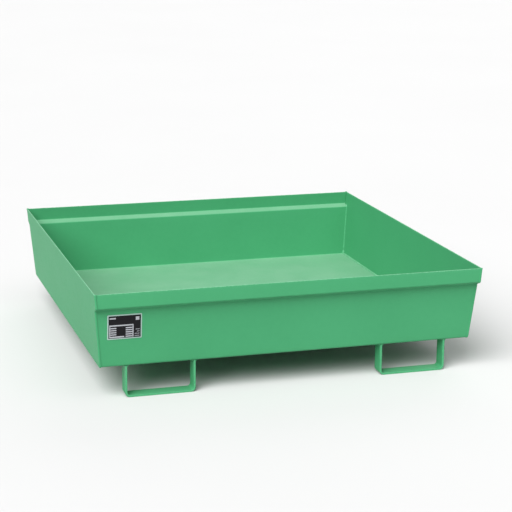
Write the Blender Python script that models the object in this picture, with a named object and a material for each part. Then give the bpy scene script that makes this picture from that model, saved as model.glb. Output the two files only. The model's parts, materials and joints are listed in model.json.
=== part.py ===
"""Spill containment pallet: a welded sheet-steel sump tray on four stirrup feet.

Metres, +Z up. X runs along the front, Y from front to rear. The origin is on the ground under
the middle of the tray. The front side is -Y.

The tray is one sheet folded into floor, front wall and rear wall, closed by two flat end plates.
Front and rear wall carry a sloping ledge and an upright rim band, where a grating rests. All
pieces are joined by weld beads, and each bead is a piece of its own.
"""

import math

import bmesh
import bpy
from mathutils import Matrix, Vector

# ------------------------------------------------------------------ driving dimensions
WIDTH = 1.200  # over the end plates, at the rim
DEPTH = 1.200  # over the two rim bands
HEIGHT = 0.328  # ground to rim
CLEARANCE = 0.098  # ground to the underside of the floor
SHEET = 0.003  # thickness of the pan and the end plates

BAND = 0.043  # height of the upright rim band, rim to first fold
LEDGE_RUN = 0.021  # how far the ledge reaches inwards
LEDGE_FALL = 0.009  # how far the ledge falls over that run
WALL_LEAN = 0.104  # inward lean of front and rear wall, run over fall
END_LEAN = 0.088  # inward lean of the end plates, run over fall

LEDGE_BEND = 0.003  # inside radius of the two folds at the ledge
FLOOR_BEND = 0.005  # inside radius of the folds at the floor

FOOT_SPACING = 0.794  # between the middles of the left and right feet
FOOT_WIDTH = 0.212  # over both legs of a stirrup
FOOT_STRIP = 0.045  # width of the flat bar
FOOT_BAR = 0.006  # thickness of the flat bar
FOOT_BEND = 0.009  # inside radius of the stirrup's bends
FOOT_SETBACK = 0.003  # from the wall's lower edge to the stirrup's face

PLATE_SIZE = (0.102, 0.076)  # type plate, width and height
PLATE_THICKNESS = 0.0008
PLATE_CORNER = 0.003
PLATE_MIDDLE = (-0.507, 0.2215)  # x and z of its middle

GAP = 0.0003  # clearance between pieces that touch
EDGE = 0.0007  # rounding of cut edges under the coating
INNER_LEG = 0.0035  # leg of the fillet inside the tray
FOOT_LEG = 0.0040  # leg of the fillet at the feet
BEAD_RISE = 0.0030  # crown of the outside bead above the sheet's mid plane
BEAD_REACH = 0.0032  # how far the outside bead runs onto the pan
RIM_KNOB = 0.0020  # how far the outside bead stands above the rim

BEND_STEPS = 7
CROWN_STEPS = 6
EDGE_STEPS = 2

GREEN = (0.085, 0.430, 0.205, 1.0)
SILVER = (0.550, 0.620, 0.600, 1.0)


# ------------------------------------------------------------------ helpers: paths
def turned(vector, angle):
    return Matrix.Rotation(angle, 2) @ vector


def left_of(direction):
    return Vector((-direction.y, direction.x))


def rounded_path(corners, radii, steps=BEND_STEPS):
    """A line through the corners with an arc at each inner one, as (point, left normal) pairs."""
    first_way = (corners[1] - corners[0]).normalized()
    last_way = (corners[-1] - corners[-2]).normalized()
    path = [(corners[0], left_of(first_way))]
    for before, corner, after, radius in zip(corners, corners[1:], corners[2:], radii):
        way_in = (corner - before).normalized()
        way_out = (after - corner).normalized()
        turn = math.atan2(way_in.cross(way_out), way_in.dot(way_out))
        side = math.copysign(radius, turn)
        start = corner - way_in * radius * math.tan(abs(turn) / 2)
        centre = start + left_of(way_in) * side
        for step in range(steps + 1):
            normal = turned(left_of(way_in), turn * step / steps)
            path.append((centre - normal * side, normal))
    path.append((corners[-1], left_of(last_way)))
    return path


def offset(path, distance):
    return [point + normal * distance for point, normal in path]


def mirrored(corners):
    """The corners of the front half, followed by the same corners on the rear half."""
    return corners + [Vector((-corner.x, corner.y)) for corner in reversed(corners)]


# ------------------------------------------------------------------ helpers: meshes and objects
def finished_mesh(name, bm):
    bmesh.ops.recalc_face_normals(bm, faces=bm.faces)
    mesh = bpy.data.meshes.new(name)
    bm.to_mesh(mesh)
    bm.free()
    return mesh


def swept_mesh(name, rings, strip_caps=False):
    """Closed skin over rings of points. With strip_caps, each end is a row of quads, as on a sheet."""
    bm = bmesh.new()
    rows = [[bm.verts.new(point) for point in ring] for ring in rings]
    count = len(rows[0])
    for row, following in zip(rows, rows[1:]):
        for k in range(count):
            after = (k + 1) % count
            bm.faces.new((row[k], row[after], following[after], following[k]))
    for row in (rows[0], rows[-1]):
        if strip_caps:
            for k in range(count // 2 - 1):
                bm.faces.new((row[k], row[k + 1], row[count - 2 - k], row[count - 1 - k]))
        else:
            bm.faces.new(row)
    return finished_mesh(name, bm)


def coating(name, color, roughness, metallic):
    material = bpy.data.materials.new(name)
    material.use_nodes = True
    shader = material.node_tree.nodes["Principled BSDF"]
    shader.inputs["Base Color"].default_value = color
    shader.inputs["Roughness"].default_value = roughness
    shader.inputs["Metallic"].default_value = metallic
    return material


def add_piece(name, mesh, material, parent, location=(0, 0, 0), rotation=(0, 0, 0)):
    piece = bpy.data.objects.new(name, mesh)
    bpy.context.scene.collection.objects.link(piece)
    piece.parent = parent
    piece.location = location
    piece.rotation_euler = rotation
    if not mesh.materials:
        mesh.materials.append(material)
        mesh.shade_smooth()
        mesh.set_sharp_from_angle(angle=math.radians(35))
    return piece


def round_edges(piece):
    bevel = piece.modifiers.new("edge_rounding", "BEVEL")
    bevel.width = EDGE
    bevel.segments = EDGE_STEPS
    bevel.limit_method = "ANGLE"
    bevel.angle_limit = math.radians(50)


# ------------------------------------------------------------------ the tray's section
def tray_corners():
    """Corners of the sheet's mid plane on the front half, as (y, z), from the rim to the floor."""
    floor_z = CLEARANCE + SHEET / 2
    band_y = -(DEPTH - SHEET) / 2
    rim = Vector((band_y, HEIGHT))
    ledge_out = Vector((band_y, HEIGHT - BAND))
    ledge_in = ledge_out + Vector((LEDGE_RUN, -LEDGE_FALL))
    floor = Vector((ledge_in.x + WALL_LEAN * (ledge_in.y - floor_z), floor_z))
    return [rim, ledge_out, ledge_in, floor]


def tray_path():
    """The whole section from the front rim to the rear rim. Its left side is the tray's inside."""
    half = [LEDGE_BEND + SHEET / 2] * 2 + [FLOOR_BEND + SHEET / 2]
    return rounded_path(mirrored(tray_corners()), half + half[::-1])


def end_face_x(z, outboard=0.0):
    """x of the right end plate's inner face at height z, moved outboard."""
    thickness = SHEET * math.hypot(1, END_LEAN)
    return WIDTH / 2 - thickness - END_LEAN * (HEIGHT - z) + outboard


def pan_mesh():
    path = tray_path()
    section = offset(path, -SHEET / 2) + offset(path, SHEET / 2)[::-1]
    rings = []
    for side in (-1, 1):
        rings.append([(side * end_face_x(p.y, -GAP), p.x, p.y) for p in section])
    return swept_mesh("pan_sheet", rings, strip_caps=True)


def end_plate_mesh(side):
    """The plate ends at the sheet's mid plane, which leaves a groove for the corner weld."""
    outline = offset(tray_path(), 0)
    thickness = SHEET * math.hypot(1, END_LEAN)
    rings = []
    for outboard in (0, thickness):
        rings.append([(side * end_face_x(p.y, outboard), p.x, p.y) for p in outline])
    return swept_mesh("end_plate", rings)


# ------------------------------------------------------------------ weld beads
def bead_mesh(name, path, section, place):
    """Sweeps a section of (across, out) points along a path. place turns them into 3-D points."""
    rings = []
    for point, normal in path:
        rings.append([place(point + normal * out, across) for across, out in section])
    return swept_mesh(name, rings)


def corner_bead_section():
    """Fills the groove between the plate's edge and the pan, with a rounded crown over both."""
    pan_face = -SHEET / 2 - GAP
    plate_side = SHEET + GAP
    section = [(0, pan_face), (0, -GAP), (SHEET, -GAP)]
    middle = (plate_side - BEAD_REACH) / 2
    reach = (plate_side + BEAD_REACH) / 2
    for step in range(1, CROWN_STEPS):
        angle = math.pi * step / CROWN_STEPS
        base = -GAP + (pan_face + GAP) * step / CROWN_STEPS
        rise = (BEAD_RISE + base) * math.sin(angle) ** 0.6
        section.append((middle + reach * math.cos(angle), base - rise))
    section.append((-BEAD_REACH, pan_face))
    return section


def fillet_section(leg):
    """A convex fillet in a corner, as (across, out): both faces lie one gap away."""
    section = [(0, 0)]
    for step in range(CROWN_STEPS + 1):
        angle = math.pi / 2 * step / CROWN_STEPS
        bulge = 0.70 + 0.12 * math.sin(2 * angle)
        scale = leg * (bulge if 0 < step < CROWN_STEPS else 1)
        section.append((scale * math.cos(angle), scale * math.sin(angle)))
    return section


def corner_weld_mesh(side):
    """Outside bead along the whole joint. It starts and ends in a knob just above the rim."""
    path = tray_path()
    rise = Vector((0, RIM_KNOB))
    path.insert(0, (path[0][0] + rise, path[0][1]))
    path.append((path[-1][0] + rise, path[-1][1]))

    def place(point, across):
        return (side * end_face_x(point.y, across), point.x, point.y)

    return bead_mesh("corner_weld", path, corner_bead_section(), place)


def inner_weld_mesh(side):
    """Inside fillet, from just under the front ledge to just under the rear ledge."""
    ledge_points = 1 + 2 * (BEND_STEPS + 1)
    path = tray_path()[ledge_points - 1 : -(ledge_points - 1)]

    def place(point, across):
        return (side * end_face_x(point.y, -GAP - across), point.x, point.y)

    section = [(across, SHEET / 2 + GAP + out) for across, out in fillet_section(INNER_LEG)]
    return bead_mesh("inner_weld", path, section, place)


def foot_weld_mesh():
    """Fillet round three sides of a leg, under the floor. The origin is on the floor's underside."""
    half_bar, half_strip = FOOT_BAR / 2, FOOT_STRIP / 2
    corners = [
        Vector((half_bar, -half_strip)),
        Vector((half_bar, half_strip)),
        Vector((-half_bar, half_strip)),
        Vector((-half_bar, -half_strip)),
    ]
    path = rounded_path(corners, [EDGE, EDGE])

    def place(point, down):
        return (point.x, point.y, -GAP - down)

    section = [(down, -GAP - out) for down, out in fillet_section(FOOT_LEG)]
    return bead_mesh("foot_weld", path, section, place)


# ------------------------------------------------------------------ feet and type plate
def foot_mesh():
    """A stirrup of flat bar, open at the top, standing on z = 0 with its middle at the origin."""
    half_span = (FOOT_WIDTH - FOOT_BAR) / 2
    top = CLEARANCE - GAP
    corners = [
        Vector((-half_span, top)),
        Vector((-half_span, FOOT_BAR / 2)),
        Vector((half_span, FOOT_BAR / 2)),
        Vector((half_span, top)),
    ]
    path = rounded_path(corners, [FOOT_BEND + FOOT_BAR / 2] * 2)
    section = offset(path, -FOOT_BAR / 2) + offset(path, FOOT_BAR / 2)[::-1]
    rings = []
    for y in (-FOOT_STRIP / 2, FOOT_STRIP / 2):
        rings.append([(p.x, y, p.y) for p in section])
    return swept_mesh("foot", rings, strip_caps=True)


def type_plate_mesh():
    """A thin plate with round corners in the XZ plane, its back on y = 0."""
    half_width, half_height = PLATE_SIZE[0] / 2, PLATE_SIZE[1] / 2
    outline = []
    for quarter, (sx, sz) in enumerate(((1, 1), (-1, 1), (-1, -1), (1, -1))):
        centre = Vector((sx * (half_width - PLATE_CORNER), sz * (half_height - PLATE_CORNER)))
        for step in range(BEND_STEPS + 1):
            angle = math.pi / 2 * (quarter + step / BEND_STEPS)
            outline.append(centre + Vector((math.cos(angle), math.sin(angle))) * PLATE_CORNER)
    rings = [[(p.x, y, p.y) for p in outline] for y in (0, -PLATE_THICKNESS)]
    return swept_mesh("type_plate", rings)


# ------------------------------------------------------------------ assembly
def add_tray(green, parent):
    round_edges(add_piece("pan_sheet", pan_mesh(), green, parent))
    for label, side in (("left", -1), ("right", 1)):
        round_edges(add_piece(f"end_plate_{label}", end_plate_mesh(side), green, parent))
        add_piece(f"corner_weld_{label}", corner_weld_mesh(side), green, parent)
        add_piece(f"inner_weld_{label}", inner_weld_mesh(side), green, parent)


def add_feet(green, parent):
    foot, weld = foot_mesh(), foot_weld_mesh()
    floor_edge = tray_corners()[-1].x - SHEET / 2
    foot_y = floor_edge + FOOT_SETBACK + FOOT_STRIP / 2
    leg_offset = (FOOT_WIDTH - FOOT_BAR) / 2
    for row, y, turn in (("front", foot_y, 0), ("rear", -foot_y, math.pi)):
        for label, side in (("left", -1), ("right", 1)):
            x = side * FOOT_SPACING / 2
            name = f"{row}_{label}"
            round_edges(add_piece(f"foot_{name}", foot, green, parent, (x, y, 0)))
            for leg, leg_side in (("outer", side), ("inner", -side)):
                place = (x + leg_side * leg_offset, y, CLEARANCE)
                add_piece(f"foot_weld_{name}_{leg}", weld, green, parent, place, (0, 0, turn))


def add_type_plate(silver, parent):
    """On the front wall's outer face, which it follows in its lean."""
    _, _, ledge_in, floor = tray_corners()
    lean = math.atan(WALL_LEAN)
    x, z = PLATE_MIDDLE
    wall_y = floor.x - WALL_LEAN * (z - floor.y)
    stand_off = (SHEET / 2 + GAP) / math.cos(lean)
    location = (x, wall_y - stand_off, z)
    add_piece("type_plate", type_plate_mesh(), silver, parent, location, (lean, 0, 0))


def clear_scene():
    for old in list(bpy.data.objects):
        bpy.data.objects.remove(old)


def build():
    clear_scene()
    pallet = bpy.data.objects.new("pallet", None)
    bpy.context.scene.collection.objects.link(pallet)
    green = coating("green_coating", GREEN, 0.45, 0.0)
    silver = coating("type_plate", SILVER, 0.35, 0.0)
    add_tray(green, pallet)
    add_feet(green, pallet)
    add_type_plate(silver, pallet)


build()
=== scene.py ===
"""Looks of the spill containment pallet: a powder-coated, welded sheet-steel tray on stirrup feet.

Metres, in the CAD's own frame: +Z up, -Y is the front. Each piece is made in place, with its
object at the origin, so object coordinates are real-world coordinates in every material.
"""

import json
import math

import bmesh
import bpy
from mathutils import Matrix, Vector


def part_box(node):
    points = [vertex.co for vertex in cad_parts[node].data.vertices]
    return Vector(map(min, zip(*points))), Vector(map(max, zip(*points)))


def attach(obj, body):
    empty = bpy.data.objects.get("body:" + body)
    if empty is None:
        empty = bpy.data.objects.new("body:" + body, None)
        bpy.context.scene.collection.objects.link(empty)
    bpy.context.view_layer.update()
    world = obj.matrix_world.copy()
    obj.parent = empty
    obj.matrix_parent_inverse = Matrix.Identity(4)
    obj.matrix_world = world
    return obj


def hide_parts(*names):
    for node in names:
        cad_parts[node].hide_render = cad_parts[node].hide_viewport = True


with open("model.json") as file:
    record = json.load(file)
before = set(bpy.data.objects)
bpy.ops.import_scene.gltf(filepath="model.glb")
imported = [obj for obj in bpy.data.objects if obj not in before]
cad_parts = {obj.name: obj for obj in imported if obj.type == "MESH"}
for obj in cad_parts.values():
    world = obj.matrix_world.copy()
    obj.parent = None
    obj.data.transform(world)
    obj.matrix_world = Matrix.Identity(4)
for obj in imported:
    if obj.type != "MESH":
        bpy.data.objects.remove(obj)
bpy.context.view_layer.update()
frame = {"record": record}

# ------------------------------------------------------------------ the tray's sheet metal
SHEET = 0.003  # thickness of the pan and the end plates
WALL_LEAN = 0.104  # inward lean of front and rear wall, run over fall
END_LEAN = 0.088  # inward lean of the end plates, run over fall
LEDGE_BEND = 0.003  # inside radius of the two folds at the ledge
FLOOR_BEND = 0.005  # inside radius of the folds at the floor
GAP = 0.0003  # the CAD's clearance between pieces that touch
EDGE = 0.0008  # rounding of cut edges under the coating
EDGE_STEPS = 3  # mesh steps round a rounded edge
EDGE_ANGLE = 50  # degrees between faces from which an edge is rounded
RIM_DROPS = (0.0015, 0.003, 0.006)  # extra mesh lines this far below the rim
PALE_EDGE_REACH = 0.005  # how far from a cut edge the coating is painted paler: thinner coating, with a painted highlight
GRID = 0.030  # spacing of the mesh lines across flat sheet
BEND_STEPS = 10  # mesh steps round each fold
WAVE = 0.0007  # how far a large flat sheet stands off true
WAVE_MARGIN = 0.16  # a flat is true at its folds and reaches its full wave this far in

# ------------------------------------------------------------------ weld beads
BEAD_STEP = 0.0009  # mesh spacing along a bead
RIPPLE_PITCH = 0.0042  # distance from ripple to ripple
RIPPLE = 0.055  # height of a ripple, as a share of the bead's height
DRESSED = 0.2  # what grinding leaves of the ripples on the outside corners
CROWN_STEPS = 9  # mesh steps over a bead's crown
CREASE = 70  # degrees from which a line on a bead stays sharp
KNOB_LENGTH = 0.008  # how far the swelling behind a bead's end reaches
ROUND_OFF = 0.003  # length of a bead's rounded tip
BEAD_RISE = 0.0030  # crown of the outside bead above the sheet's mid plane
BEAD_REACH = 0.0032  # how far the outside bead runs onto the pan
RIM_KNOB = 0.0018  # how far the outside bead stands above the rim
INNER_LEG = 0.0040  # leg of the fillet inside the tray
HOOK = 0.009  # length of the inside bead on top of the ledge
BLOB = 0.80  # how much the fillet grows where two runs of weld meet at a floor fold
BLOB_LENGTH = 0.009  # reach of that growth to either side
NECK_PLACE = 0.012  # distance from the fold to the thinner neck beside it
NECK_LENGTH = 0.005
FOOT_LEG = 0.0040  # leg of the fillet at the feet
LEG_GRID = 0.004  # spacing of that fillet's stations, before it is resampled
CROWN_POWER = 0.6  # under 1, so that the outside bead's crown is fuller than round

# ------------------------------------------------------------------ feet and type plate
FOOT_BAR = 0.006  # thickness of the flat bar
BAR_EDGE_PALENESS = 0.35  # how pale the bar's edges are painted, for wear and highlight, against the sheet's
BAR_GRID = 0.012  # mesh spacing along the bar
BAR_LINES = (0, 0.035, 0.11, 0.3, 0.5, 0.7, 0.89, 0.965, 1)  # the same across it, as shares
FOOT_BEND = 0.009  # inside radius of the stirrup's bends
PLATE_SIZE = (0.102, 0.076)  # width and height
PLATE_CORNER = 0.003  # radius of the plate's corners
PLATE_THICKNESS = 0.0008
PLATE_EDGE = 0.0003  # rounding of the plate's front edge
PLATE_MARGIN = 0.0034  # silver border round the printed field
PRINT = 0.00006  # thickness of a layer of print
PRINT_EDGE = 0.00002  # rounding of a print layer's edge
FIELD_CORNER = 0.0012
BAR_CORNER = 0.0004


# ------------------------------------------------------------------ helpers: paths
def turned(vector, angle):
    return Matrix.Rotation(angle, 2) @ vector


def left_of(direction):
    return Vector((-direction.y, direction.x))


class Station:
    """A place on a folded line, with its left normal.

    Its slack is the distance to the nearer end of its flat run, and 0 in a fold.
    """

    def __init__(self, point, normal, slack=0.0):
        self.point = point
        self.normal = normal
        self.slack = slack

    def at(self, distance):
        return self.point + self.normal * distance


def flat_stations(start, end, spacing):
    """Evenly spaced stations on a straight run, ends included."""
    length = (end - start).length
    normal = left_of((end - start).normalized())
    count = max(1, round(length / spacing))
    stations = []
    for k in range(count + 1):
        share = k / count
        slack = min(share, 1 - share) * length
        stations.append(Station(start.lerp(end, share), normal, slack))
    return stations


def folded_line(corners, radii, spacing=GRID):
    """Stations along a line through the corners, with an arc at each inner one."""
    stations = []
    start = corners[0]
    for before, corner, after, radius in zip(corners, corners[1:], corners[2:], radii):
        way_in = (corner - before).normalized()
        way_out = (after - corner).normalized()
        turn = math.atan2(way_in.cross(way_out), way_in.dot(way_out))
        side = math.copysign(radius, turn)
        arc_start = corner - way_in * radius * math.tan(abs(turn) / 2)
        centre = arc_start + left_of(way_in) * side
        stations += flat_stations(start, arc_start, spacing)
        for step in range(1, BEND_STEPS):
            normal = turned(left_of(way_in), turn * step / BEND_STEPS)
            stations.append(Station(centre - normal * side, normal))
        start = centre - left_of(way_out) * side
    return stations + flat_stations(start, corners[-1], spacing)


def resampled(stations, step):
    """The same line as evenly spaced (point, normal) pairs, about a step apart."""
    lengths = [0.0]
    for before, after in zip(stations, stations[1:]):
        lengths.append(lengths[-1] + (after.point - before.point).length)
    count = round(lengths[-1] / step)
    pairs = []
    k = 0
    for number in range(count + 1):
        run = lengths[-1] * number / count
        while k < len(stations) - 2 and lengths[k + 1] < run:
            k += 1
        share = (run - lengths[k]) / max(lengths[k + 1] - lengths[k], 1e-9)
        before, after = stations[k], stations[k + 1]
        normal = before.normal.lerp(after.normal, share).normalized()
        pairs.append((before.point.lerp(after.point, share), normal))
    return pairs


def mirrored(corners):
    """The corners of the front half, followed by the same corners on the rear half."""
    return corners + [Vector((-corner.x, corner.y)) for corner in reversed(corners)]


def smooth_share(distance, span):
    """0 at no distance, 1 from a span on, with soft ends."""
    share = min(max(distance / span, 0.0), 1.0)
    return share * share * (3 - 2 * share)


def lump(distance, width):
    """1 at no distance, falling to nothing a width away."""
    return 1 - smooth_share(abs(distance), width)


def wavy(a, b):
    """A slow wave over a flat sheet, between -1 and 1."""
    broad = math.sin(7.1 * a + 0.9) * math.sin(5.3 * b + 0.4)
    narrow = math.sin(15.7 * a - 6.1 * b + 2.1)
    return 0.65 * broad + 0.35 * narrow


# ------------------------------------------------------------------ helpers: meshes and objects
def edge_share(distance):
    """How pale a point is painted near a cut edge: thinner coating there, with a painted highlight.
    """
    return max(0.0, 1 - distance / PALE_EDGE_REACH) ** 2


def closed_skin(name, rings, strip_caps=False):
    """Closed mesh over rings of (x, y, z, edge) points; edge becomes the mesh attribute "edge".

    With strip_caps each end is closed by a row of quads, as on a sheet, and else by one face.
    """
    bm = bmesh.new()
    edge_layer = bm.verts.layers.float.new("edge")
    rows = []
    for ring in rings:
        rows.append([bm.verts.new(point[:3]) for point in ring])
        for vert, point in zip(rows[-1], ring):
            vert[edge_layer] = point[3] if len(point) > 3 else 0.0
    count = len(rows[0])
    for row, following in zip(rows, rows[1:]):
        for k in range(count):
            after = (k + 1) % count
            bm.faces.new((row[k], row[after], following[after], following[k]))
    for row in (rows[0], rows[-1]):
        if strip_caps:
            for k in range(count // 2 - 1):
                bm.faces.new((row[k], row[k + 1], row[count - 2 - k], row[count - 1 - k]))
        else:
            bm.faces.new(row)
    return finished_mesh(name, bm)


def finished_mesh(name, bm):
    bmesh.ops.recalc_face_normals(bm, faces=bm.faces)
    mesh = bpy.data.meshes.new(name)
    bm.to_mesh(mesh)
    bm.free()
    return mesh


def add_piece(name, mesh, material, nodes=(), bevel=0.0, sharp=40):
    """Links the mesh as a piece that rides on the pallet and stands for the named CAD nodes."""
    mesh.materials.append(material)
    mesh.shade_smooth()
    mesh.set_sharp_from_angle(angle=math.radians(sharp))
    piece = bpy.data.objects.new(name, mesh)
    bpy.context.scene.collection.objects.link(piece)
    if bevel:
        rounding = piece.modifiers.new("edge_rounding", "BEVEL")
        rounding.width = bevel
        rounding.segments = EDGE_STEPS
        rounding.limit_method = "ANGLE"
        rounding.angle_limit = math.radians(EDGE_ANGLE)
    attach(piece, "root")
    if nodes:
        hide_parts(*nodes)
    return piece


# ------------------------------------------------------------------ the tray's section
def mount(name):
    return next(m for m in frame["record"]["mounts"] if m["name"] == name)


def tray_corners():
    """Corners of the sheet's mid plane on the front half, as (y, z), from the rim to the floor."""
    low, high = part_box("pan_sheet")
    ledge = mount("ledge_front")
    up = Vector(ledge["axis"][1:])
    middle = Vector(ledge["pos_m"][1:]) - up * SHEET / 2
    rim = Vector((low.y + SHEET / 2, high.z))
    half_run = middle.x - rim.x
    slope = Vector((half_run, -half_run * up.x / up.y))
    ledge_in = middle + slope
    floor_z = low.z + SHEET / 2
    floor = Vector((ledge_in.x + WALL_LEAN * (ledge_in.y - floor_z), floor_z))
    return [rim, middle - slope, ledge_in, floor]


TRAY = tray_corners()
HALF_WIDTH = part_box("end_plate_right")[1].x
RIM_Z = TRAY[0].y
FOLDS = [LEDGE_BEND + SHEET / 2] * 2 + [FLOOR_BEND + SHEET / 2]


def tray_line():
    """The whole section from the front rim to the rear rim. Its left side is the tray's inside.

    Close to each rim it has more stations, so that the paler edge there, worn and with a painted
    highlight, stays at the edge.
    """
    line = folded_line(mirrored(TRAY), FOLDS + FOLDS[::-1])
    front, rear = line[0], line[-1]
    below_front = [Station(front.point - Vector((0, drop)), front.normal) for drop in RIM_DROPS]
    below_rear = [Station(rear.point - Vector((0, drop)), rear.normal) for drop in RIM_DROPS[::-1]]
    return [front] + below_front + line[1:-1] + below_rear + [rear]


def end_face_x(z, outboard=0.0):
    """x of the right end plate's inner face at height z, moved outboard."""
    thickness = SHEET * math.hypot(1, END_LEAN)
    return HALF_WIDTH - thickness - END_LEAN * (RIM_Z - z) + outboard


def mirrored_shares(near_end, limit, count):
    """Shares from 1 down to -1: those near the end, and count even steps between the limits."""
    even = [limit - 2 * limit * k / count for k in range(count + 1)]
    return near_end + even + [-share for share in reversed(near_end)]


def pan_mesh():
    """The folded sheet, as rings round its section from the right end to the left end."""
    line = tray_line()
    rings = []
    for share in mirrored_shares([1.0, 0.997, 0.99, 0.975], 0.95, 38):
        margin = (1 - abs(share)) * HALF_WIDTH
        faces = ([], [])
        for station in line:
            depth = smooth_share(station.slack, WAVE_MARGIN) * smooth_share(margin, WAVE_MARGIN)
            wave = WAVE * depth * wavy(share * HALF_WIDTH, station.point.x + station.point.y)
            edge = edge_share(RIM_Z - station.point.y)
            for face, distance in zip(faces, (-SHEET / 2, SHEET / 2)):
                y, z = station.at(distance + wave)
                x = share * end_face_x(station.at(distance).y, -GAP)
                face.append((x, y, z, edge))
        rings.append(faces[0] + faces[1][::-1])
    return closed_skin("pan", rings, strip_caps=True)


def end_plate_levels():
    """(half depth, height) of the end plate's mesh lines, from the rim down to the floor.

    Lines too close to the lower edge are left out, so that the edge can be rounded.
    """
    levels = [station.point for station in tray_line()]
    floor_start = next(k for k, level in enumerate(levels) if level.y < TRAY[3].y + 1e-6)
    clear = [level for level in levels[:floor_start] if level.y > TRAY[3].y + 2 * EDGE]
    return clear + [levels[floor_start]]


def add_end_plate_skin(bm, side, outboard):
    """Adds one face of the end plate. Its rows run from the front edge to the rear edge."""
    edge_layer = bm.verts.layers.float["edge"]
    rows = []
    for level in end_plate_levels():
        row = []
        for share in mirrored_shares([1.0, 0.996, 0.985], 0.955, 40):
            y, z = level.x * share, level.y
            margin = min(abs(level.x) * (1 - abs(share)), z - TRAY[3].y, RIM_Z - z)
            depth = smooth_share(margin, WAVE_MARGIN / 2)
            wave = WAVE * depth * wavy(y * 1.1 + side, z * 2.3)
            vert = bm.verts.new((side * end_face_x(z, outboard + wave), y, z))
            vert[edge_layer] = edge_share(RIM_Z - z)
            row.append(vert)
        rows.append(row)
    for row, below in zip(rows, rows[1:]):
        for k in range(len(row) - 1):
            bm.faces.new((row[k], row[k + 1], below[k + 1], below[k]))
    return rows


def end_plate_mesh(side):
    """The inner and the outer face of the end plate, joined round their outlines."""
    thickness = SHEET * math.hypot(1, END_LEAN)
    bm = bmesh.new()
    bm.verts.layers.float.new("edge")
    inner = skin_outline(add_end_plate_skin(bm, side, 0))
    outer = skin_outline(add_end_plate_skin(bm, side, thickness))
    for k in range(len(inner)):
        after = (k + 1) % len(inner)
        bm.faces.new((inner[k], inner[after], outer[after], outer[k]))
    return finished_mesh("end_plate", bm)


def skin_outline(rows):
    """The boundary of a grid of rows, once round."""
    right = [row[-1] for row in rows[1:-1]]
    left = [row[0] for row in rows[1:-1]]
    return rows[0] + right + rows[-1][::-1] + left[::-1]


# ------------------------------------------------------------------ weld beads
def ripple(run, across):
    """Height of the weld's crescent-shaped ripples at a run along the bead, across from -1 to 1."""
    phase = 2 * math.pi * (run / RIPPLE_PITCH + 0.35 * across * across + 0.5 * math.sin(run * 61))
    return math.sin(phase) + 0.35 * math.sin(2 * phase + 0.6)


def swelling(run):
    """Slow variation of a hand-laid bead's size, about 1."""
    shorter = 0.05 * math.sin(run * 173)
    longer = 0.04 * math.sin(run * 71 + 1.3) + 0.03 * math.sin(run * 29)
    return 1 + shorter + longer


def corner_bead_section(run, dressing):
    """Fills the groove between the plate's edge and the pan, with a rounded crown over both."""
    pan_face = -SHEET / 2 - GAP
    plate_side = SHEET + GAP
    section = [(0, pan_face), (0, -GAP), (SHEET, -GAP)]
    middle = (plate_side - BEAD_REACH) / 2
    reach = (plate_side + BEAD_REACH) / 2
    for step in range(1, CROWN_STEPS):
        angle = math.pi * step / CROWN_STEPS
        base = -GAP + (pan_face + GAP) * step / CROWN_STEPS
        lift = 1 + dressing * RIPPLE * ripple(run, math.cos(angle))
        rise = (BEAD_RISE * swelling(run) + base) * math.sin(angle) ** CROWN_POWER * lift
        section.append((middle + reach * math.cos(angle), base - rise))
    section.append((-BEAD_REACH, pan_face))
    return section


def fillet_section(run, leg):
    """A convex, rippled fillet in a corner, as (across, out)."""
    section = [(0, 0)]
    for step in range(CROWN_STEPS + 1):
        angle = math.pi / 2 * step / CROWN_STEPS
        bulge = 0.72 + 0.13 * math.sin(2 * angle)
        if step in (0, CROWN_STEPS):
            bulge = 1
        crest = 1 + RIPPLE * ripple(run, 2 * step / CROWN_STEPS - 1) * math.sin(2 * angle)
        scale = leg * swelling(run) * bulge * crest
        section.append((scale * math.cos(angle), scale * math.sin(angle)))
    return section


def shrunk(ring, scale):
    centre = sum((Vector(point) for point in ring), Vector()) / len(ring)
    return [tuple(centre + (Vector(point) - centre) * scale) for point in ring]


def end_scale(from_end, knob):
    """Scale of a bead's section near its end: a rounded tip, with a swelling behind it."""
    tip = math.sqrt(max(0.02, 1 - (1 - min(from_end / ROUND_OFF, 1)) ** 2))
    return tip * (1 + knob * lump(from_end, KNOB_LENGTH))


def bead_mesh(name, line, section, place, crest_paleness, knob=0.0):
    """Sweeps section(run, normal) along the line; place turns (point, across) into 3-D.

    The crest is painted paler by the share given as crest_paleness: thinner coating, with a painted
    highlight along it. Where the bead swells behind its ends, by the share given as knob, it's
    paler still.
    """
    pairs = resampled(line, BEAD_STEP)
    length = (len(pairs) - 1) * BEAD_STEP
    rings = []
    for number, (point, normal) in enumerate(pairs):
        run = number * BEAD_STEP
        ring = [place(point + normal * out, across) for across, out in section(run, normal)]
        from_end = min(run, length - run)
        scale = end_scale(from_end, knob)
        # painted highlight: the crest and the swelling behind each end are painted paler
        crest_and_knob_paleness = crest_paleness + 2 * knob * lump(from_end, KNOB_LENGTH)
        crest = [crest_and_knob_paleness * math.sin(math.pi * k / (len(ring) - 1)) for k in range(len(ring))]
        rings.append([(*point, thin) for point, thin in zip(shrunk(ring, scale), crest)])
    return closed_skin(name, rings)


def corner_weld_mesh(side):
    """Outside bead: rippled under the floor, dressed on the upright corners, a knob at each rim."""
    line = tray_line()
    rise = Vector((0, RIM_KNOB))
    line.insert(0, Station(line[0].point + rise, line[0].normal))
    line.append(Station(line[-1].point + rise, line[-1].normal))

    def section(run, normal):
        return corner_bead_section(run, DRESSED + (1 - DRESSED) * smooth_share(normal.y, 1))

    def place(point, across):
        return (side * end_face_x(point.y, across), point.x, point.y)

    # the knobs at the rims get a painted highlight
    return bead_mesh("corner_weld", line, section, place, crest_paleness=0.0, knob=0.40)


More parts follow.
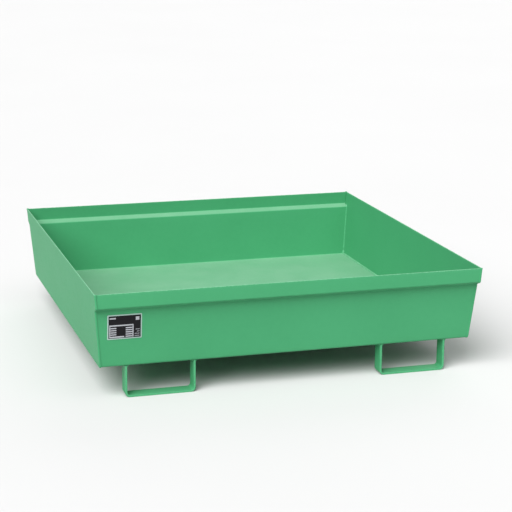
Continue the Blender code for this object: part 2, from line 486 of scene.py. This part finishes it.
def inner_weld_mesh(side):
    """Inside fillet that hooks over the front ledge's fold and runs down, along the floor and up.

    It ends on the rear ledge in the same way, and has a restart blob at each floor fold.
    """
    ledge_way = (TRAY[2] - TRAY[1]).normalized()
    corners = mirrored([TRAY[2] - ledge_way * HOOK, TRAY[2], TRAY[3]])
    line = folded_line(corners, [FOLDS[1], FOLDS[2], FOLDS[2], FOLDS[1]])
    wall_run = HOOK + (corners[2] - corners[1]).length
    whole_run = 2 * wall_run + (corners[3] - corners[2]).length

    def section(run, normal):
        from_fold = min(abs(run - wall_run), abs(whole_run - wall_run - run))
        growth = lump(from_fold, BLOB_LENGTH) - 0.5 * lump(from_fold - NECK_PLACE, NECK_LENGTH)
        fillet = fillet_section(run, INNER_LEG * (1 + BLOB * growth))
        return [(across, SHEET / 2 + GAP + out) for across, out in fillet]

    def place(point, across):
        return (side * end_face_x(point.y, -GAP - across), point.x, point.y)

    # painted highlight along the inside bead's crest
    return bead_mesh("inner_weld", line, section, place, crest_paleness=0.50, knob=0.15)


def foot_weld_mesh(x, y, turn, floor_z, strip):
    """Fillet round three sides of a leg, under the floor.

    The side without weld is the leg's front for a turn of 1, and its rear for a turn of -1.
    """
    half_bar, half_strip = FOOT_BAR / 2, strip / 2
    corners = [
        Vector((half_bar, -half_strip)),
        Vector((half_bar, half_strip)),
        Vector((-half_bar, half_strip)),
        Vector((-half_bar, -half_strip)),
    ]
    line = folded_line(corners, [EDGE, EDGE], spacing=LEG_GRID)

    def section(run, normal):
        return [(down, -GAP - out) for down, out in fillet_section(run + x, FOOT_LEG)]

    def place(point, down):
        return (x + turn * point.x, y + turn * point.y, floor_z - GAP - down)

    return bead_mesh("foot_weld", line, section, place, crest_paleness=0.30)


# ------------------------------------------------------------------ feet
def foot_mesh(node):
    """A stirrup of flat bar, open at the top, between the CAD foot's own limits."""
    low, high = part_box(node)
    middle = (low.x + high.x) / 2
    half_span = (high.x - low.x - FOOT_BAR) / 2
    corners = [
        Vector((-half_span, high.z)),
        Vector((-half_span, low.z + FOOT_BAR / 2)),
        Vector((half_span, low.z + FOOT_BAR / 2)),
        Vector((half_span, high.z)),
    ]
    line = folded_line(corners, [FOOT_BEND + FOOT_BAR / 2] * 2, spacing=BAR_GRID)
    strip = high.y - low.y
    rings = []
    for share in BAR_LINES:
        edge = BAR_EDGE_PALENESS * edge_share(min(share, 1 - share) * strip)
        faces = [[s.at(-FOOT_BAR / 2) for s in line], [s.at(FOOT_BAR / 2) for s in line]]
        ring = faces[0] + faces[1][::-1]
        rings.append([(middle + p.x, low.y + share * strip, p.y, edge) for p in ring])
    return closed_skin("foot", rings, strip_caps=True)


# ------------------------------------------------------------------ type plate
def plate_place():
    """Turns (across, -out, up) on the type plate into the pallet's frame."""
    low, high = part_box("type_plate")
    middle = (low + high) / 2
    lean = math.atan(WALL_LEAN)
    wall_y = TRAY[3].x - WALL_LEAN * (middle.z - TRAY[3].y)
    stand_off = (SHEET / 2 + GAP) / math.cos(lean)
    turn = Matrix.Rotation(lean, 4, "X")
    return Matrix.Translation((middle.x, wall_y - stand_off, middle.z)) @ turn


def rounded_rectangle(width, height, radius, steps=8):
    """Outline about the origin, once round, as (across, up) points."""
    outline = []
    for quarter, (sx, sz) in enumerate(((1, 1), (-1, 1), (-1, -1), (1, -1))):
        centre = Vector((sx * (width / 2 - radius), sz * (height / 2 - radius)))
        for step in range(steps + 1):
            angle = math.pi / 2 * (quarter + step / steps)
            outline.append(centre + Vector((math.cos(angle), math.sin(angle))) * radius)
    return outline


def tile_mesh(name, width, height, radius, back, front, rounding):
    """A thin tile with rounded corners and a rounded front edge, parallel to the type plate.

    Its back and front are given as distances out of the type plate's plane.
    """
    layers = [(back, 0.0), (front - rounding, 0.0), (front - 0.3 * rounding, 0.3 * rounding)]
    layers.append((front, rounding))
    rings = []
    for out, inset in layers:
        outline = rounded_rectangle(width - 2 * inset, height - 2 * inset, radius - 0.9 * inset)
        rings.append([(p.x, -out, p.y) for p in outline])
    return closed_skin(name, rings)


def joined(name, meshes):
    """One mesh of several separate closed skins."""
    bm = bmesh.new()
    for mesh in meshes:
        bm.from_mesh(mesh)
        bpy.data.meshes.remove(mesh)
    return finished_mesh(name, bm)


def print_bars():
    """Plain bars where the plate has print, as (left, top, width, height) in millimetres."""
    bars = [(6.5, 8.8, 18.5, 4.4), (83.5, 9.0, 10.5, 10.5)]
    bars += [(5.9, 31.5, 71.3, 4.0), (5.9, 36.2, 3.0, 29.8), (74.2, 36.2, 3.0, 34.6)]
    bars.append((5.9, 66.6, 44.0, 4.2))
    for row in range(4):
        bars.append((9.6, 39.9 + 6.6 * row, 17.2, 3.3))
    for row in range(5):
        bars.append((54.2, 39.9 + 6.6 * row, 19.3, 3.5))
    for row, length in enumerate((11.5, 8.0, 14.5, 14.5)):
        bars.append((95.0 - length, 47.2 + 6.6 * row, length, 1.5))
    return bars


def print_mesh(base):
    """The bars of the print, from a base distance out of the plate's plane."""
    width, height = (side * 1000 for side in PLATE_SIZE)
    tiles = []
    for left, top, bar_width, bar_height in print_bars():
        size = (bar_width / 1000, bar_height / 1000)
        tile = tile_mesh("bar", *size, BAR_CORNER, base, base + PRINT, PRINT_EDGE)
        across = (left + bar_width / 2 - width / 2) / 1000
        up = (height / 2 - top - bar_height / 2) / 1000
        tile.transform(Matrix.Translation((across, 0, up)))
        tiles.append(tile)
    return joined("print", tiles)


# ------------------------------------------------------------------ materials
def add_node(tree, kind, inputs=(), **settings):
    """A shader node with its settings. An input takes a value, or another node's socket."""
    made = tree.nodes.new(f"ShaderNode{kind}")
    for key, value in settings.items():
        setattr(made, key, value)
    for key, value in dict(inputs).items():
        if isinstance(value, bpy.types.NodeSocket):
            tree.links.new(value, made.inputs[key])
        else:
            made.inputs[key].default_value = value
    return made


def start_material(name):
    material = bpy.data.materials.new(name)
    material.use_nodes = True
    tree = material.node_tree
    place = add_node(tree, "TexCoord").outputs["Object"]
    return material, tree, tree.nodes["Principled BSDF"], place


def noise(tree, place, scale, detail=2.0, roughness=0.5):
    inputs = {"Vector": place, "Scale": scale, "Detail": detail, "Roughness": roughness}
    return add_node(tree, "TexNoise", inputs).outputs["Fac"]


def spread(tree, value, low, high, to_low=0.0, to_high=1.0):
    """Maps low..high of a value onto to_low..to_high, clamped."""
    inputs = {"Value": value, "From Min": low, "From Max": high}
    inputs |= {"To Min": to_low, "To Max": to_high}
    return add_node(tree, "MapRange", inputs).outputs["Result"]


def maths(tree, operation, first, second):
    return add_node(tree, "Math", {0: first, 1: second}, operation=operation).outputs[0]


def product(tree, first, second):
    return maths(tree, "MULTIPLY", first, second)


def total(tree, first, *others):
    for other in others:
        first = maths(tree, "ADD", first, other)
    return first


def blended(tree, share, first, second):
    """The first colour at share 0, the second at share 1."""
    inputs = {"Factor": share, "A": first, "B": second}
    mix = tree.nodes.new("ShaderNodeMix")
    mix.data_type = "RGBA"
    sockets = {"Factor": mix.inputs[0], "A": mix.inputs[6], "B": mix.inputs[7]}
    for key, value in inputs.items():
        if isinstance(value, bpy.types.NodeSocket):
            tree.links.new(value, sockets[key])
        else:
            sockets[key].default_value = value
    return mix.outputs[2]


GREEN = (0.056, 0.312, 0.137, 1.0)
DEEP_GREEN = (0.050, 0.292, 0.126, 1.0)  # the darker tone of the mottling
PALE_EDGE_GREEN = (0.195, 0.510, 0.305, 1.0)  # where the coating is thin or rubbed, and the painted highlight on edges, bead crests and knobs
# painted sheen: the pale tint mixed into faces that look up, standing in for the light they reflect
SHEEN_TINT = (0.780, 0.850, 0.800, 1.0)
SHEEN_SHARE = 0.13  # how far the painted sheen, a pale film standing in for reflected light, hides the coating on level faces
COATING_IOR = 1.27  # below a real paint's, to keep the sheen of the pale studio down
FOIL_IOR = 1.22  # lowered in the same way


def coated_steel(name, roughness=0.50, peel=0.000022, scuffed=0.0, sheen_amount=SHEEN_SHARE):
    """Satin green powder coating with orange peel, faint mottling and paler edges (thinner coating,
    with a painted highlight).

    Faces that look up carry a painted sheen: a thin, uneven pale film that stands in for the light
    they reflect, and also dulls them. The peel is the height of the bumps in metres, and scuffed is
    the roughness that handling adds in streaks.
    """
    material, tree, shader, place = start_material(name)
    clouds = noise(tree, place, 5.0, 3.0)
    mottling = noise(tree, place, 70.0, 4.0, 0.6)
    grain = noise(tree, place, 1400.0, 2.0)
    tones = (product(tree, clouds, 0.5), product(tree, mottling, 0.3), product(tree, grain, 0.2))
    body = blended(tree, spread(tree, total(tree, *tones), 0.36, 0.64), DEEP_GREEN, GREEN)
    # paler edges and bead crests: thinner coating, with a painted highlight
    edge = add_node(tree, "Attribute", attribute_name="edge").outputs["Fac"]
    pale_edge_mask = product(tree, edge, spread(tree, noise(tree, place, 160.0, 3.0), 0.35, 0.65))
    worn_and_highlit = blended(tree, product(tree, pale_edge_mask, 0.55), body, PALE_EDGE_GREEN)
    # painted sheen: faces that look up are mixed towards a pale tint that stands in for reflected
    # light
    sheen_mask = product(tree, painted_sheen(tree, place), sheen_amount)
    tree.links.new(blended(tree, sheen_mask, worn_and_highlit, SHEEN_TINT), shader.inputs["Base Color"])

    stretch = {"Vector": place, "Scale": (1.0, 1.0, 7.0)}
    streaks = noise(tree, add_node(tree, "Mapping", stretch).outputs["Vector"], 22.0, 5.0, 0.65)
    handling = spread(tree, streaks, 0.52, 0.75, 0.0, 0.05 + scuffed)
    gloss = spread(tree, mottling, 0.3, 0.7, roughness - 0.025, roughness + 0.025)
    dulled = total(tree, gloss, handling, product(tree, pale_edge_mask, 0.10), product(tree, sheen_mask, 0.6))
    tree.links.new(dulled, shader.inputs["Roughness"])

    skin = total(tree, noise(tree, place, 330.0, 1.0), product(tree, grain, 0.25))
    bump = add_node(tree, "Bump", {"Height": skin, "Distance": peel, "Strength": 1.0})
    tree.links.new(bump.outputs["Normal"], shader.inputs["Normal"])
    shader.inputs["IOR"].default_value = COATING_IOR
    return material


def coated_weld(name):
    """The same coating on a bead, glossier and with less orange peel than on flat steel."""
    return coated_steel(name, roughness=0.48, peel=0.000012)


def painted_sheen(tree, place):
    """Share of painted sheen, standing in for reflected light: none on upright and hanging faces,
    uneven on faces that look up.
    """
    geometry = add_node(tree, "NewGeometry")
    up = add_node(tree, "SeparateXYZ", {"Vector": geometry.outputs["Normal"]}).outputs["Z"]
    level = spread(tree, up, 0.35, 0.98)
    patches = spread(tree, noise(tree, place, 9.0, 4.0, 0.55), 0.3, 0.7, 0.85, 1.15)
    specks = spread(tree, noise(tree, place, 420.0, 2.0), 0.3, 0.7, 0.9, 1.1)
    return product(tree, product(tree, level, patches), specks)


def printed_foil(name, light, dark, roughness):
    """Foil or ink with a fine horizontal grain."""
    material, tree, shader, place = start_material(name)
    grain_place = add_node(tree, "Mapping", {"Vector": place, "Scale": (60.0, 60.0, 1600.0)})
    grain = noise(tree, grain_place.outputs["Vector"], 1.0, 3.0)
    speckle = noise(tree, place, 450.0, 3.0)
    tone = product(tree, total(tree, grain, speckle), 0.5)
    colour = blended(tree, spread(tree, tone, 0.35, 0.65), dark, light)
    tree.links.new(colour, shader.inputs["Base Color"])
    gloss = spread(tree, speckle, 0.3, 0.7, roughness - 0.05, roughness + 0.05)
    tree.links.new(gloss, shader.inputs["Roughness"])
    bump = add_node(tree, "Bump", {"Height": grain, "Distance": 0.000004, "Strength": 1.0})
    tree.links.new(bump.outputs["Normal"], shader.inputs["Normal"])
    shader.inputs["IOR"].default_value = FOIL_IOR
    return material


def studio_floor(name):
    """A matt, pale floor, barely clouded."""
    material, tree, shader, place = start_material(name)
    clouds = noise(tree, place, 0.8, 2.0)
    colour = blended(tree, clouds, (0.62, 0.62, 0.62, 1.0), (0.64, 0.64, 0.64, 1.0))
    tree.links.new(colour, shader.inputs["Base Color"])
    shader.inputs["Roughness"].default_value = 0.8
    shader.inputs["Specular IOR Level"].default_value = 0.2
    return material


def add_tray():
    sheet = coated_steel("coated_sheet")
    weld = coated_weld("coated_weld")
    add_piece("tray_pan", pan_mesh(), sheet, ["pan_sheet"], bevel=EDGE)
    for label, side in (("left", -1), ("right", 1)):
        plate = end_plate_mesh(side)
        nodes = [f"end_plate_{label}"]
        add_piece(f"tray_end_{label}", plate, sheet, nodes, bevel=EDGE)
        bead = corner_weld_mesh(side)
        nodes = [f"corner_weld_{label}"]
        add_piece(f"outside_bead_{label}", bead, weld, nodes, sharp=CREASE)
        bead = inner_weld_mesh(side)
        nodes = [f"inner_weld_{label}"]
        add_piece(f"inside_bead_{label}", bead, weld, nodes, sharp=CREASE)


def add_feet():
    # the stirrups get only a little painted sheen
    bar = coated_steel("coated_bar", scuffed=0.05, sheen_amount=0.02)
    weld = coated_weld("coated_foot_weld")
    floor_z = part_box("pan_sheet")[0].z
    for row, turn in (("front", 1), ("rear", -1)):
        for label, side in (("left", -1), ("right", 1)):
            name = f"{row}_{label}"
            node = f"foot_{name}"
            add_piece(f"stirrup_{name}", foot_mesh(node), bar, [node], bevel=EDGE)
            low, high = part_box(node)
            y = (low.y + high.y) / 2
            legs = {-1: low.x + FOOT_BAR / 2, 1: high.x - FOOT_BAR / 2}
            for leg, leg_side in (("outer", side), ("inner", -side)):
                mesh = foot_weld_mesh(legs[leg_side], y, turn, floor_z, high.y - low.y)
                nodes = [f"foot_weld_{name}_{leg}"]
                piece = f"stirrup_bead_{name}_{leg}"
                add_piece(piece, mesh, weld, nodes, sharp=CREASE)


def add_type_plate():
    place = plate_place()
    silver = printed_foil("plate_silver", (0.37, 0.50, 0.46, 1), (0.32, 0.45, 0.41, 1), 0.38)
    black = printed_foil("plate_black", (0.012, 0.011, 0.013, 1), (0.007, 0.006, 0.008, 1), 0.42)
    ink = printed_foil("plate_ink", (0.42, 0.43, 0.46, 1), (0.33, 0.34, 0.37, 1), 0.45)
    width, height = PLATE_SIZE
    base = tile_mesh("base", width, height, PLATE_CORNER, 0, PLATE_THICKNESS, PLATE_EDGE)
    field_size = (width - 2 * PLATE_MARGIN, height - 2 * PLATE_MARGIN)
    top = PLATE_THICKNESS + PRINT
    field = tile_mesh("field", *field_size, FIELD_CORNER, PLATE_THICKNESS, top, PRINT_EDGE)
    layers = (("base", base, silver), ("field", field, black), ("bars", print_mesh(top), ink))
    for label, mesh, material in layers:
        mesh.transform(place)
        nodes = ["type_plate"] if label == "base" else []
        add_piece(f"data_plate_{label}", mesh, material, nodes)


# ------------------------------------------------------------------ studio
CAMERA_PLACE = (-1.4449, -4.9140, 1.5258)
CAMERA_YAW = math.radians(17.055)  # towards +X
CAMERA_PITCH = math.radians(-13.861)
CAMERA_ROLL = math.radians(0.512)
CAMERA_LENS = 112.58  # millimetres, like the sensor
SENSOR = 36.0
SOFTBOX_WIDTH = 50  # degrees
WORLD_LIGHT = 0.30
FLOOR_HALF = 14.0


def add_camera():
    cos_pitch = math.cos(CAMERA_PITCH)
    forward = Vector(
        (
            math.sin(CAMERA_YAW) * cos_pitch,
            math.cos(CAMERA_YAW) * cos_pitch,
            math.sin(CAMERA_PITCH),
        )
    )
    level_right = Vector((math.cos(CAMERA_YAW), -math.sin(CAMERA_YAW), 0))
    level_up = level_right.cross(forward)
    right = level_right * math.cos(CAMERA_ROLL) + level_up * math.sin(CAMERA_ROLL)
    up = level_up * math.cos(CAMERA_ROLL) - level_right * math.sin(CAMERA_ROLL)
    data = bpy.data.cameras.new("camera")
    data.lens = CAMERA_LENS
    data.sensor_width = SENSOR
    camera = bpy.data.objects.new("camera", data)
    axes = Matrix((right, up, -forward)).transposed().to_4x4()
    camera.matrix_world = Matrix.Translation(CAMERA_PLACE) @ axes
    bpy.context.scene.collection.objects.link(camera)
    bpy.context.scene.camera = camera


def add_far_softbox(name, azimuth, elevation, strength):
    """A broad light far away, placed by its azimuth from the front (-Y) and its elevation.

    Both are in degrees, and the azimuth grows towards +X.
    """
    around, above = math.radians(azimuth), math.radians(elevation)
    level = math.cos(above)
    back = Vector((math.sin(around) * level, -math.cos(around) * level, math.sin(above)))
    data = bpy.data.lights.new(name, "SUN")
    data.angle = math.radians(SOFTBOX_WIDTH)
    data.energy = strength
    light = bpy.data.objects.new(name, data)
    light.rotation_euler = back.to_track_quat("Z", "Y").to_euler()
    bpy.context.scene.collection.objects.link(light)


def add_studio():
    world = bpy.data.worlds.new("studio")
    world.use_nodes = True
    background = world.node_tree.nodes["Background"]
    background.inputs["Color"].default_value = (1, 1, 1, 1)
    background.inputs["Strength"].default_value = WORLD_LIGHT
    bpy.context.scene.world = world
    bpy.context.scene.view_settings.view_transform = "Standard"
    add_far_softbox("key", -46, 45, 4.5)
    add_far_softbox("high_right", 20, 60, 0.6)
    add_far_softbox("rear_fill", 150, 25, 0.6)
    bm = bmesh.new()
    bmesh.ops.create_grid(bm, x_segments=8, y_segments=8, size=FLOOR_HALF)
    mesh = finished_mesh("studio_floor", bm)
    mesh.materials.append(studio_floor("studio_floor"))
    floor = bpy.data.objects.new("studio_floor", mesh)
    bpy.context.scene.collection.objects.link(floor)


add_tray()
add_feet()
add_type_plate()
add_camera()
add_studio()
